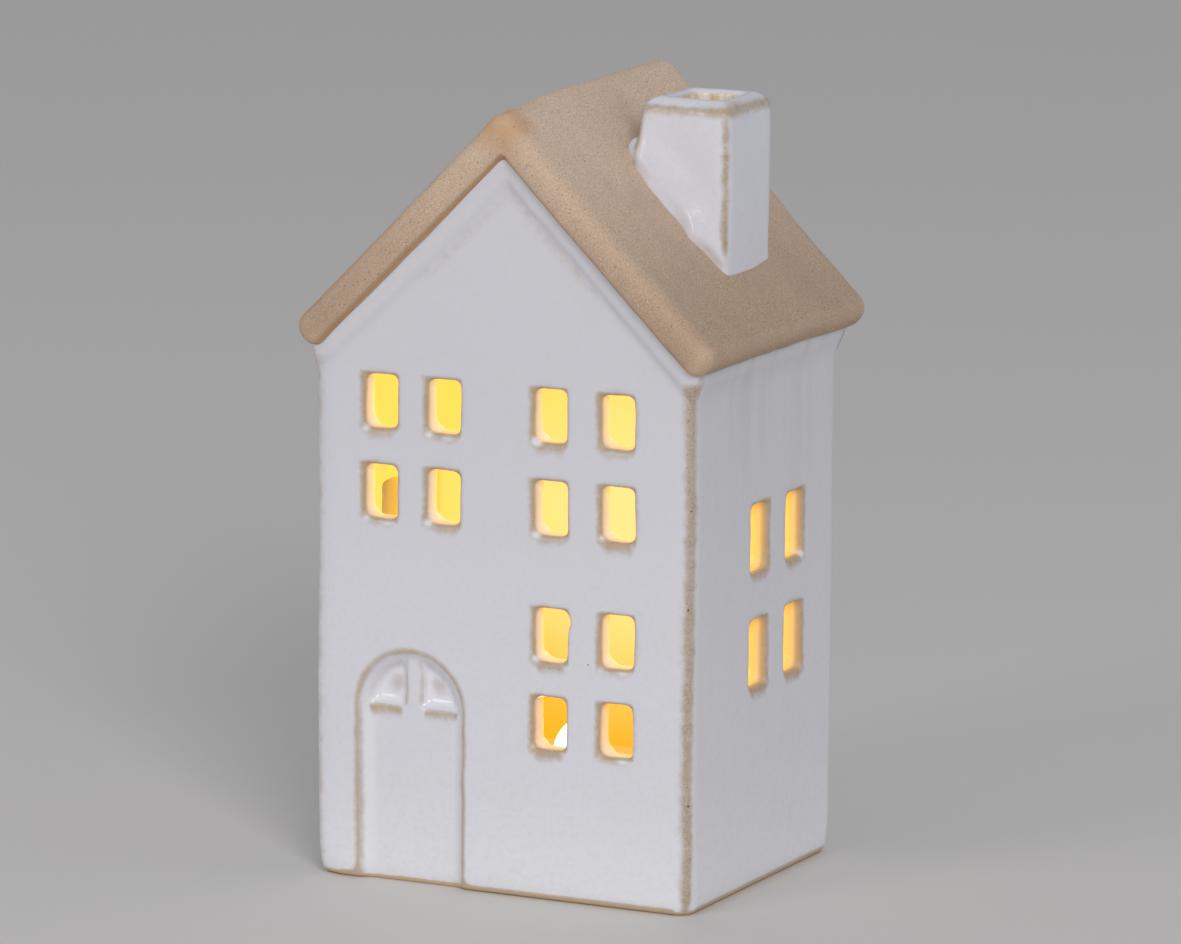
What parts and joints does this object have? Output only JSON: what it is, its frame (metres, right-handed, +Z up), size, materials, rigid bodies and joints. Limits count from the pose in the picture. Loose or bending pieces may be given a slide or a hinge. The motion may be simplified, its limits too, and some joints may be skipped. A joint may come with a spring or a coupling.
{
  "type": "lit village house",
  "caption": "Small glazed stoneware house with window openings, arched door, bare gable roof and chimney, lit from inside by a battery light that plugs into its floor.",
  "frame": {"origin": "on the table, under the middle of the house", "axes": "+Z up, +X to the right along the front wall, +Y from the front wall with the door to the back"},
  "size_m": [0.0892, 0.0744, 0.1553],
  "materials": {
    "white_glaze": "glossy white glaze, thin and tan on edges",
    "bare_stoneware": "bare fired sandy stoneware, matte and grainy",
    "white_plastic": "moulded, fine satin texture",
    "silicone": "soft, matte, milky",
    "cell_sleeve": "shrunk film sleeve with bare steel ends",
    "nickel_strip": "nickel plated strip",
    "board_laminate": "green solder mask",
    "chip_resin": "moulded resin",
    "resistor_body": "thick film on ceramic",
    "capacitor_body": "ceramic",
    "led_resin": "clear tinted resin",
    "tinned_lead": "tinned",
    "milky_diffuser": "milky, lit from inside",
    "plated_steel": "zinc plated",
    "wafer_laminate": "brown laminate",
    "black_plastic": "moulded, fine satin texture",
    "brass_strip": "stamped",
    "red_insulation": "extruded",
    "white_insulation": "extruded",
    "black_insulation": "extruded"
  },
  "bodies": {
    "house": {"house_walls": "white_glaze", "roof": "bare_stoneware", "chimney": "white_glaze"},
    "light_unit": {"light_base": "white_plastic", "light_cover": "white_plastic", "grip_ring": "silicone", "front_battery": "cell_sleeve", "rear_battery": "cell_sleeve", "positive_contact": "nickel_strip", "negative_contact": "nickel_strip", "bridge_contact": "nickel_strip", "circuit_board": "board_laminate", "timer_chip": "chip_resin", "resistor": "resistor_body", "capacitor": "capacitor_body", "led": "led_resin", "led_leads": "tinned_lead", "diffuser": "milky_diffuser", "switch_case": "plated_steel", "switch_wafer": "wafer_laminate", "switch_terminals": "tinned_lead", "red_wire": "red_insulation", "white_wire": "white_insulation", "black_wire": "black_insulation", "cover_screws": "plated_steel"},
    "hatch": {"battery_hatch": "white_plastic"},
    "switch": {"switch_knob": "black_plastic", "switch_wiper": "brass_strip"}
  },
  "joints": [
    {"name": "light_pull", "type": "slide", "parent": "house", "child": "light_unit", "axis": [0, 0, -1], "range_m": [0, 0.04]},
    {"name": "hatch_swing", "type": "hinge", "parent": "light_unit", "child": "hatch", "pos_m": [-0.02605, -0.0059, 0.0022], "axis": [0, 1, 0], "range_deg": [0, 90]},
    {"name": "switch_slide", "type": "slide", "parent": "light_unit", "child": "switch", "axis": [1, 0, 0], "range_m": [0, 0.004]}
  ]
}
